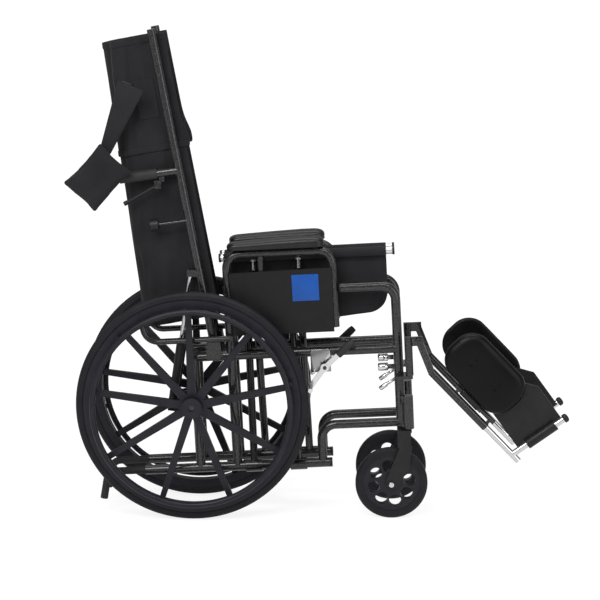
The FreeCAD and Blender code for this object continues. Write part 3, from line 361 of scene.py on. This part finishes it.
def back_point(side, along, height, lift):
    """A point of the back cloth: along runs 0 to 1 from its front edge to the middle, lift is off its face."""
    share = (height - BACK_LOW) / (BACK_HIGH - BACK_LOW)
    depth = DEPTH_LOW + (DEPTH_HIGH - DEPTH_LOW) * share
    flare = 0.0
    if lift > FLARED_LIFT:
        flare = FLARE * math.exp(-((height - UPPER_LOW - FLARE_RISE) / FLARE_SPREAD) ** 2)
    front = -CLOTH_FRONT - flare
    straight = depth - CLOTH_SIDE - front
    run = along * (straight + CLOTH_SIDE * math.pi / 2)
    if run <= straight:
        back, wide, out_back, out_wide = front + run, CLOTH_SIDE, 0.0, 1.0
    else:
        angle = (run - straight) / CLOTH_SIDE
        back = depth - CLOTH_SIDE + CLOTH_SIDE * math.sin(angle)
        wide = CLOTH_SIDE * math.cos(angle)
        out_back, out_wide = math.sin(angle), math.cos(angle)
    pull = min(along / FRONT_FADE, 1.0) * min((1 - along) / MIDDLE_FADE + MIDDLE_SHARE, 1.0)
    sink = FOLD_DEPTH * pull * (wrinkles(side, along, height) - FOLD_BIAS)
    reach = lift + min(sink, FOLD_CREST)
    return (BACK_FOOT + CANE * height + BACK * (back + out_back * reach)
            + WIDE * (side * (wide + out_wide * reach)))


def back_sheet(name, side, heights, lift, material, along=(0, 1), columns=44, rows=70, thick=CLOTH_THICK):
    """A sheet on the back between two heights, over a part or all of the way round."""
    points = []
    for row in range(rows):
        height = heights[0] + (heights[1] - heights[0]) * row / (rows - 1)
        for column in range(columns):
            share = along[0] + (along[1] - along[0]) * column / (columns - 1)
            points.append(back_point(side, share, height, lift))
    return thicken(new_piece(name, points, grid_faces(rows, columns), material), thick)


def hang_on_cane(piece):
    """Bakes a back piece's placement into its mesh."""
    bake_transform(piece)


# The head cloth, its hems and the strap's patch lie in layers on the back cloth, which ends TOP_STEP below them
TOP_STEP = 0.004
HEAD_LIFT, HEM_LIFT, PATCH_LIFT = 0.0026, 0.0048, 0.0052
HEM_THICK, PATCH_THICK = 0.0014, 0.0016
HEM_HEIGHT, CREST_HEIGHT = 0.016, 0.018
PATCH_ALONG, PATCH_HEIGHTS = (0.27, 0.55), (0.611, 0.713)
for label, side in SIDES:
    lower = back_sheet("back_cloth_" + label, side, (BACK_LOW, BACK_HIGH - TOP_STEP), 0.0, CLOTH)
    upper = back_sheet("head_cloth_" + label, side, (UPPER_LOW, BACK_HIGH), HEAD_LIFT, CLOTH, rows=40)
    hem = back_sheet("head_hem_" + label, side, (UPPER_LOW, UPPER_LOW + HEM_HEIGHT), HEM_LIFT, STRAP,
                     rows=4, thick=HEM_THICK)
    crest = back_sheet("top_hem_" + label, side, (BACK_HIGH - CREST_HEIGHT, BACK_HIGH), HEM_LIFT, STRAP,
                       rows=4, thick=HEM_THICK)
    for piece in (lower, upper, hem, crest):
        hang_on_cane(piece)
    finish_piece(lower, "cloth", "back_sling_" + label)
    for piece in (upper, hem, crest):
        finish_piece(piece, "cloth")
    width = CLOTH_FRONT + FLAT_DEPTH - CLOTH_SIDE + CLOTH_SIDE * math.pi / 2
patch = back_sheet("strap_patch", -1, PATCH_HEIGHTS, PATCH_LIFT, STRAP, PATCH_ALONG, columns=16, rows=20,
                   thick=PATCH_THICK)
hang_on_cane(patch)
finish_piece(patch, "cloth")

# Seat upholstery, hanging in a fold between the raised seat rails. Its ends are rounded off below,
# and its lower edge slopes up towards the front.
RAIL_WRAP = 0.0113
SEAT_START, SEAT_END = 0.098, 0.524
SEAT_DROP = 0.182
SLOPE, SLOPE_START = 0.10, 0.34
SEAT_CORNER = 0.05
TUCK = math.radians(80)
HEM_SHARE, WRAP_SHARE = 0.10, 0.30
CLOSING_CURVE, FALL_CURVE = 3, 0.85
RIPPLE, RIPPLES_ALONG, RIPPLES_ACROSS = 0.0035, 14, 5
SEAT_ROWS, SEAT_COLUMNS = 64, 81


def seat_profile(share, drop):
    """Across and down from the rails' middle line: from a hem tucked under one rail, over it, down and back."""
    side = -1 if share < 0.5 else 1
    near = min(share, 1 - share) * 2
    if near < WRAP_SHARE:
        if near < HEM_SHARE:
            angle = -TUCK * (1 - near / HEM_SHARE)
        else:
            angle = math.pi * (near - HEM_SHARE) / (WRAP_SHARE - HEM_SHARE)
        return side * (RAIL_SIDE + RAIL_WRAP * math.cos(angle)), RAIL_WRAP * math.sin(angle)
    fall = (near - WRAP_SHARE) / (1 - WRAP_SHARE)
    inner = RAIL_SIDE - RAIL_WRAP
    return side * inner * (1 - fall ** CLOSING_CURVE) ** 0.5, -drop * fall ** FALL_CURVE


points = []
for row in range(SEAT_ROWS):
    along = SEAT_START + (SEAT_END - SEAT_START) * row / (SEAT_ROWS - 1)
    edge = min(SEAT_END - along, along - SEAT_START)
    lost = SLOPE * max(along - SLOPE_START, 0)
    if edge < SEAT_CORNER:
        lost += SEAT_CORNER - math.sqrt(max(SEAT_CORNER ** 2 - (SEAT_CORNER - edge) ** 2, 0))
    for column in range(SEAT_COLUMNS):
        share = column / (SEAT_COLUMNS - 1)
        wide, high = seat_profile(share, SEAT_DROP - lost)
        wave = noise.noise(Vector((along * RIPPLES_ALONG, share * RIPPLES_ACROSS, 1.0)))
        ripple = wave * RIPPLE * math.sin(math.pi * share) ** 2
        points.append(rail_zero + FORWARD * along + UP * (high + ripple) + WIDE * (wide + ripple * (0.5 - share)))
seat = thicken(new_piece("seat_cloth", points, grid_faces(SEAT_ROWS, SEAT_COLUMNS), CLOTH), CLOTH_THICK)
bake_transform(seat)
finish_piece(seat, "cloth", "seat_sling")


# Padded and flat pieces are stacks of rounded outlines, round ones are stacks of circles
def outline(length, width, corner, count):
    """A rounded rectangle about the origin, never smaller than a speck."""
    speck = 0.0005
    corner = max(min(corner, length / 2 - speck, width / 2 - speck), speck)
    points = []
    for n in range(count):
        angle = 2 * math.pi * (n + 0.5) / count
        middle_x = math.copysign(length / 2 - corner, math.cos(angle))
        middle_y = math.copysign(width / 2 - corner, math.sin(angle))
        points.append((middle_x + corner * math.cos(angle), middle_y + corner * math.sin(angle)))
    return points


def stacked(name, centre, axes, length, width, corner, layers, material, count=64):
    """Rings of one outline, each drawn in by an inset and raised along the third axis."""
    corner_loss = 0.8
    points = []
    for inset, rise in layers:
        for x, y in outline(length - 2 * inset, width - 2 * inset, corner - inset * corner_loss, count):
            points.append(centre + axes[0] * x + axes[1] * y + axes[2] * rise)
    return new_piece(name, points, tube_faces(len(layers), count), material)


def plate_layers(edge, face, bevel):
    """Layers of a plate, from half its thickness at the edge and at the face and the bevel between them."""
    return [(bevel, -face), (0.0, -edge), (0.0, edge), (bevel, face)]


def turned(name, start, way, profile, material, count=24):
    """A round piece, from its rings' distances along the axis and their radii."""
    runs_across = abs(way.y) > 0.9
    first = way.cross(UP if runs_across else WIDE).normalized()
    second = way.cross(first)
    points = []
    for along, radius in profile:
        for n in range(count):
            angle = 2 * math.pi * n / count
            points.append(start + way * along + (first * math.cos(angle) + second * math.sin(angle)) * radius)
    return new_piece(name, points, tube_faces(len(profile), count), material)


# Armrest pads with a groove round the seam, thinner towards the rear and at the nose
ARM_PAD_CORNER = 0.022
ARM_PAD_LAYERS = [(0.010, 0.0), (0.003, 0.0006), (0.0004, 0.003), (0.0, 0.006), (0.0012, 0.0085), (0.0002, 0.011),
                  (0.0, 0.017), (0.0022, 0.0225), (0.0065, 0.0268), (0.0125, 0.0290), (0.019, 0.0300),
                  (0.0245, 0.0303)]
ARM_PAD_TOP = ARM_PAD_LAYERS[-1][1]
REAR_LOSS, REAR_CURVE = 0.30, 1.6
NOSE_LOSS, NOSE_START, NOSE_LENGTH = 0.10, 0.85, 0.15
for label, _ in SIDES:
    node = "armrest_pad_" + label
    spans = [node_span(node, way) for way in (FORWARD, WIDE, UP)]
    length, width, thick = [high - low for low, high in spans]
    rear, under = spans[0][0], spans[2][0]
    centre = FORWARD * (sum(spans[0]) / 2) + WIDE * (sum(spans[1]) / 2) + UP * under
    layers = [(inset, rise * thick / ARM_PAD_TOP) for inset, rise in ARM_PAD_LAYERS]
    pad = soften(stacked("arm_pad_" + label, centre, (FORWARD, WIDE, UP), length, width, ARM_PAD_CORNER, layers,
                         VINYL))
    for vertex in pad.data.vertices:
        share = min(max((vertex.co.dot(FORWARD) - rear) / length, 0.0), 1.0)
        thin = REAR_LOSS * (1 - share) ** REAR_CURVE + NOSE_LOSS * max(share - NOSE_START, 0.0) / NOSE_LENGTH
        vertex.co -= UP * ((vertex.co.dot(UP) - under) * thin)
    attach(pad, "arm_" + label)
    finish_piece(pad, "vinyl", node)

# Calf pads, further up the leg than their solids as in the photograph, with their sleeves round the bar on the leg
CALF_THICK, CALF_CORNER = 0.034, 0.056
CALF_UP_LEG, CALF_CLEAR, CALF_OUT = 0.018, 0.008, 0.014
CALF_LAYERS = [(0.006, 0.0), (0.0015, 0.001), (0.0, 0.004), (0.0, 0.008), (0.002, 0.0105), (0.0005, 0.0125),
               (0.0, 0.017), (0.003, 0.0235), (0.009, 0.0285), (0.018, 0.0315), (0.030, 0.0333), (0.046, 0.0338),
               (0.060, CALF_THICK)]
SLEEVE_START, SLEEVE_LENGTH = 0.092, 0.064
SLEEVE_RADIUS, SLEEVE_END_RADIUS, SLEEVE_CHAMFER = 0.011, 0.0095, 0.002
SLEEVE_PROFILE = [(0.0, SLEEVE_END_RADIUS), (SLEEVE_CHAMFER, SLEEVE_RADIUS),
                  (SLEEVE_LENGTH - SLEEVE_CHAMFER, SLEEVE_RADIUS), (SLEEVE_LENGTH, SLEEVE_END_RADIUS)]
NECK_RISE, NECK_OUT, NECK_WIDTH, NECK_CORNER = 0.013, 0.003, 0.020, 0.003
NECK_LAYERS = plate_layers(edge=0.0035, face=0.004, bevel=0.0005)
for label, side in SIDES:
    node = "calf_pad_" + label
    spans = [node_span(node, way) for way in (LEG, LEG_NORMAL)]
    length = spans[0][1] - spans[0][0]
    bar_rise = spans[1][0] + SLEEVE_RADIUS
    bar_side = places["leg_raise_" + label].y
    low = bar_rise + CALF_CLEAR
    width = spans[1][1] - low
    inner = bar_side + side * (CALF_OUT - CALF_THICK / 2)
    centre = LEG * (sum(spans[0]) / 2 - CALF_UP_LEG) + LEG_NORMAL * (low + width / 2) + WIDE * inner
    pad = soften(stacked("calf_cushion_" + label, centre, (LEG, LEG_NORMAL, WIDE * side), length, width,
                         CALF_CORNER, CALF_LAYERS, CALF_VINYL))
    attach(pad, "calf_" + label)
    finish_piece(pad, "vinyl", node)
    start = LEG * (spans[0][0] + SLEEVE_START) + LEG_NORMAL * bar_rise + WIDE * bar_side
    sleeve = turned("calf_sleeve_" + label, start, LEG, SLEEVE_PROFILE, BLACK)
    neck_centre = start + LEG * (SLEEVE_LENGTH / 2) + LEG_NORMAL * NECK_RISE + WIDE * (side * NECK_OUT)
    neck = stacked("calf_neck_" + label, neck_centre, (LEG, LEG_NORMAL, WIDE), SLEEVE_LENGTH, NECK_WIDTH,
                   NECK_CORNER, NECK_LAYERS, BLACK, count=32)
    for piece in (neck, sleeve):
        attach(piece, "calf_" + label)
        finish_piece(piece, "black_plastic")

# Head strap, hanging outside the right push handle and narrower towards its pillow
GRIP_OUT, STRAP_CLEAR = 0.0146, 0.0015
STRAP_TOP_HEIGHT, STRAP_TOP_DEPTH = 0.707, 0.077
STRAP_END_HEIGHT, STRAP_END_DEPTH = 0.550, 0.178
STRAP_HALF, STRAP_TAPER = 0.036, 0.58
STRAP_BOW, STRAP_WAVE, WAVES_ACROSS, WAVES_ALONG = 0.004, 0.001, 7, 5
STRAP_ROWS, STRAP_COLUMNS = 24, 9
cane_plane = places["recline_right"]
strap_y = -(GRIP_OUT + STRAP_CLEAR)
strap_top = cane_plane + CANE * STRAP_TOP_HEIGHT + BACK * STRAP_TOP_DEPTH + WIDE * strap_y
strap_end = cane_plane + CANE * STRAP_END_HEIGHT + BACK * STRAP_END_DEPTH + WIDE * strap_y
strap_way = (strap_end - strap_top).normalized()
across_strap = Vector((-strap_way.z, 0, strap_way.x))
points = []
for row in range(STRAP_ROWS):
    share = row / (STRAP_ROWS - 1)
    half = STRAP_HALF * (1 - STRAP_TAPER * share)
    for column in range(STRAP_COLUMNS):
        across = -1 + 2 * column / (STRAP_COLUMNS - 1)
        bow = STRAP_BOW * math.sin(math.pi * share) * (1 - across ** 2)
        bow += STRAP_WAVE * math.sin(across * WAVES_ACROSS + share * WAVES_ALONG)
        points.append(strap_top + (strap_end - strap_top) * share + across_strap * (half * across) - WIDE * bow)
strap = thicken(new_piece("pillow_strap", points, grid_faces(STRAP_ROWS, STRAP_COLUMNS), STRAP), CLOTH_THICK)
hang_on_cane(strap)
finish_piece(strap, "cloth")

# The fold that joins the strap's top to the cloth
TAB_WIDTH, TAB_REACHES, TAB_SHARES = 0.028, (0.0295, 0.015, 0.0), (0.0, 0.5, 1.0)
points = [strap_top + across_strap * (share * TAB_WIDTH - TAB_WIDTH) + WIDE * reach
          for reach in TAB_REACHES for share in TAB_SHARES]
tab = thicken(new_piece("strap_fold", points, grid_faces(len(TAB_REACHES), len(TAB_SHARES)), STRAP), CLOTH_THICK)
hang_on_cane(tab)
finish_piece(tab, "cloth")

# The pillow at the strap's end, turned on its corner
LEAN = math.radians(43)
LEAN_X = Vector((math.cos(LEAN), 0, -math.sin(LEAN)))
LEAN_Z = Vector((math.sin(LEAN), 0, math.cos(LEAN)))
PILLOW_LENGTH, PILLOW_HEIGHT, PILLOW_CORNER = 0.118, 0.150, 0.005
PILLOW_DOWN, PILLOW_FORWARD, PILLOW_OUT = 0.070, 0.008, 0.013
PILLOW_SWELL = 0.006
PILLOW_FACE = [(0.005, 0.0055), (0.016, 0.0096), (0.032, 0.0118), (0.046, 0.0125)]
pillow_layers = [(inset, -rise) for inset, rise in PILLOW_FACE[::-1]] + [(0.0, 0.0)] + PILLOW_FACE
pillow_centre = strap_end + strap_way * PILLOW_DOWN - BACK * PILLOW_FORWARD - WIDE * PILLOW_OUT
pillow = stacked("head_pillow", pillow_centre, (LEAN_X, LEAN_Z, -WIDE), PILLOW_LENGTH, PILLOW_HEIGHT,
                 PILLOW_CORNER, pillow_layers, CLOTH)


def puff(piece, cap):
    """Fills a stuffed piece by cloth pressure and keeps each point within cap of where it began."""
    voxel, pressure, steps = 0.005, 4.0, 20
    remesh = piece.modifiers.new("even", "REMESH")
    remesh.mode = "VOXEL"
    remesh.voxel_size = voxel
    settle(piece)
    start = [vertex.co.copy() for vertex in piece.data.vertices]
    sim = piece.modifiers.new("fill", "CLOTH")
    sim.settings.use_pressure = True
    sim.settings.uniform_pressure_force = pressure
    sim.settings.effector_weights.gravity = 0.0
    for step in range(1, steps + 1):
        scene.frame_set(step)
    settle(piece)
    scene.frame_set(1)
    for vertex, home in zip(piece.data.vertices, start):
        move = vertex.co - home
        if move.length > cap:
            vertex.co = home + move.normalized() * cap
    piece.data.materials.clear()
    piece.data.materials.append(CLOTH)
    smooth_shade(piece.data)
    soften(piece)


puff(pillow, PILLOW_SWELL)
hang_on_cane(pillow)
finish_piece(pillow, "cloth", "head_strap")

# Wheel locks: rubber grips on the levers and steel plates on the side frames
LOCK_ANGLE = math.radians(44.0)
LOCK = Vector((math.cos(LOCK_ANGLE), 0, math.sin(LOCK_ANGLE)))
GRIP_START = 0.048
GRIP_PROFILE = [(0.0, 0.0085), (0.0015, 0.0096), (0.030, 0.0100), (0.046, 0.0100), (0.0515, 0.0090),
                (0.0545, 0.0066), (0.056, 0.0030)]
PLATE_BACK, PLATE_RISE, PLATE_OUT = 0.010, 0.017, 0.068
PLATE_LENGTH, PLATE_HEIGHT, PLATE_CORNER = 0.0528, 0.0608, 0.007
PLATE_LAYERS = plate_layers(edge=0.0025, face=0.0031, bevel=0.0008)
for label, side in SIDES:
    pivot = midline(places["brake_" + label])
    start = pivot + LOCK * GRIP_START + WIDE * (sum(node_span("brake_grip_" + label, WIDE)) / 2)
    grip = turned("lock_grip_" + label, start, LOCK, GRIP_PROFILE, GRIP)
    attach(grip, "brake_" + label)
    finish_piece(grip, "grip")
    centre = pivot - FORWARD * PLATE_BACK + UP * PLATE_RISE + WIDE * (side * PLATE_OUT)
    plate = stacked("lock_plate_" + label, centre, (FORWARD, UP, WIDE), PLATE_LENGTH, PLATE_HEIGHT, PLATE_CORNER,
                    PLATE_LAYERS, STEEL, count=48)
    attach(plate, "frame_" + label)
    finish_piece(plate, "chrome")

# Legrest latches behind the front posts: a plated barrel and its small lever
BARREL = Vector((0.152, 0, 0.399))
BARREL_PROFILE = [(0.0, 0.0085), (0.0015, 0.0105), (0.026, 0.0105), (0.028, 0.0065), (0.046, 0.0065)]
LEVER_TOP, LEVER_END = Vector((0.198, 0, 0.369)), Vector((0.157, 0, 0.340))
lever_fall = LEVER_END - LEVER_TOP
lever_length = lever_fall.length
LEVER_PROFILE = [(0.0, 0.004), (lever_length * 0.5, 0.0042), (lever_length * 0.6, 0.006),
                 (lever_length - 0.002, 0.006), (lever_length, 0.0045)]
for label, _ in SIDES:
    plane = WIDE * places["recline_" + label].y
    barrel = turned("latch_barrel_" + label, BARREL + plane, FORWARD, BARREL_PROFILE, CHROME)
    lever = turned("latch_lever_" + label, LEVER_TOP + plane, lever_fall.normalized(), LEVER_PROFILE, CHROME)
    for piece in (barrel, lever):
        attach(piece, "frame_" + label)
        finish_piece(piece, "chrome")

# Plated axle bolts on the outer cheeks of the caster forks
CHEEK = 0.026
BOLT_PROFILE = [(-0.001, 0.0072), (0.0022, 0.0072), (0.0032, 0.0058), (0.0036, 0.003)]
for label, side in SIDES:
    start = places["caster_spin_" + label] + WIDE * (side * CHEEK)
    bolt = turned("caster_bolt_" + label, start, WIDE * side, BOLT_PROFILE, CHROME)
    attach(bolt, "fork_" + label)
    finish_piece(bolt, "chrome")

# Black caps over the ends of the toe bars
CAP_OVERLAP = 0.008
CAP_PROFILE = [(0.0, 0.0105), (0.001, 0.0118), (0.008, 0.0118), (0.0115, 0.0095), (0.013, 0.005)]
for label, _ in SIDES:
    bar_end = node_span("leg_extension_" + label, TOE)[1]
    hinge = places["footplate_flip_" + label]
    start = hinge + TOE * (bar_end - hinge.dot(TOE) - CAP_OVERLAP)
    cap = turned("toe_cap_" + label, start, TOE, CAP_PROFILE, BLACK)
    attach(cap, "toe_" + label)
    finish_piece(cap, "black_plastic")

# A plain blue label on the near side panel, placed from the panel's front and top edges
LABEL_SIZE, LABEL_CORNER = 0.070, 0.001
LABEL_BACK, LABEL_DROP, LABEL_OUT = 0.070, 0.050, 0.0004
LABEL_LAYERS = [(0.0, 0.0), (0.0, 0.0004), (0.0006, 0.0006), (0.03, 0.0006)]
panel_front = node_span("side_panel_right", FORWARD)[1]
panel_face = node_span("side_panel_right", WIDE)[0]
panel_top = node_span("side_panel_right", UP)[1]
label_centre = (FORWARD * (panel_front - LABEL_BACK) + UP * (panel_top - LABEL_DROP)
                + WIDE * (panel_face - LABEL_OUT))
sticker = stacked("plain_label", label_centre, (FORWARD, UP, -WIDE), LABEL_SIZE, LABEL_SIZE, LABEL_CORNER,
                  LABEL_LAYERS, LABEL, count=32)
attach(sticker, "arm_right")
finish_piece(sticker, "panel")

# Floor. Seen directly it glows to white, and less near the chair, where its shadow shows
FLOOR_HALF, FLOOR_LEVEL = 60.0, -0.0005
GLOW_STRENGTH, MIRRORED_GLOW = 1.18, 0.33
NEAR_REACH, FAR_REACH = 0.8, 2.5
NEAR_GLOW, FAR_GLOW = 0.70, 0.86
FLOOR = Finish("floor", grey(0.86), roughness=0.9)
rays = FLOOR.node("ShaderNodeLightPath").outputs
glow = FLOOR.node("ShaderNodeEmission", Color=(1, 1, 1, 1), Strength=GLOW_STRENGTH)
reach = FLOOR.maths("LENGTH", FLOOR.place, kind="ShaderNodeVectorMath")
fade = FLOOR.node("ShaderNodeMapRange", Value=reach, From_Min=NEAR_REACH, From_Max=FAR_REACH, To_Min=NEAR_GLOW,
                  To_Max=FAR_GLOW)
mirrored = FLOOR.maths("MULTIPLY", rays["Is Glossy Ray"], MIRRORED_GLOW)
glow_share = FLOOR.maths("MULTIPLY_ADD", rays["Is Camera Ray"], fade.outputs["Result"], mirrored)
lit_and_glowing = FLOOR.node("ShaderNodeMixShader", Fac=glow_share)
FLOOR.feed(FLOOR.shader.outputs["BSDF"], lit_and_glowing.inputs[1])
FLOOR.feed(glow.outputs["Emission"], lit_and_glowing.inputs[2])
FLOOR.feed(lit_and_glowing.outputs["Shader"], FLOOR.tree.nodes["Material Output"].inputs["Surface"])
ends = (-FLOOR_HALF, FLOOR_HALF)
floor = new_piece("floor", [(x, y, FLOOR_LEVEL) for x in ends for y in ends], [(0, 2, 3, 1)], FLOOR.material)

# Light: a pale sky, three soft boxes, and a narrow strip that draws thin highlights on the tubes
SKY_STRENGTH = 0.38
world = bpy.data.worlds.new("studio")
scene.world = world
world.use_nodes = True
sky = world.node_tree.nodes["Background"]
sky.inputs["Color"].default_value = (1, 1, 1, 1)
sky.inputs["Strength"].default_value = SKY_STRENGTH

LIGHT_TARGET = Vector((0, 0, 0.6))
LIGHTS = (  # name, place, size, power
    ("key", (-1.6, -3.2, 3.2), (2.4, 2.4), 100),
    ("front_fill", (3.0, -2.6, 1.6), (2.0, 2.6), 38),
    ("top", (0.2, 0.4, 3.6), (3.0, 2.0), 50),
    ("strip", (0.0, -1.8, 2.4), (3.2, 0.12), 22),
)
for name, place, size, power in LIGHTS:
    lamp = bpy.data.lights.new(name, "AREA")
    lamp.shape = "RECTANGLE"
    lamp.size, lamp.size_y = size
    lamp.energy = power
    light = bpy.data.objects.new(name, lamp)
    light.location = place
    light.rotation_euler = (LIGHT_TARGET - Vector(place)).to_track_quat("-Z", "Y").to_euler()
    scene.collection.objects.link(light)

# Camera
CAMERA_TARGET = Vector((-0.0508, -0.116, 0.5895))
CAMERA_DISTANCE = 5.8
CAMERA_TURN, CAMERA_RISE = math.radians(1.7), math.radians(11.5)
VIEW_WIDTH, SENSOR_MM = 1.55, 36.0
to_camera = Vector((math.sin(CAMERA_TURN) * math.cos(CAMERA_RISE),
                    -math.cos(CAMERA_TURN) * math.cos(CAMERA_RISE), math.sin(CAMERA_RISE)))
lens = bpy.data.cameras.new("camera")
lens.sensor_width = SENSOR_MM
lens.lens = SENSOR_MM * CAMERA_DISTANCE / VIEW_WIDTH
camera = bpy.data.objects.new("camera", lens)
camera.location = CAMERA_TARGET + to_camera * CAMERA_DISTANCE
camera.rotation_euler = (-to_camera).to_track_quat("-Z", "Y").to_euler()
scene.collection.objects.link(camera)
scene.camera = camera

scene.view_settings.view_transform = "Standard"
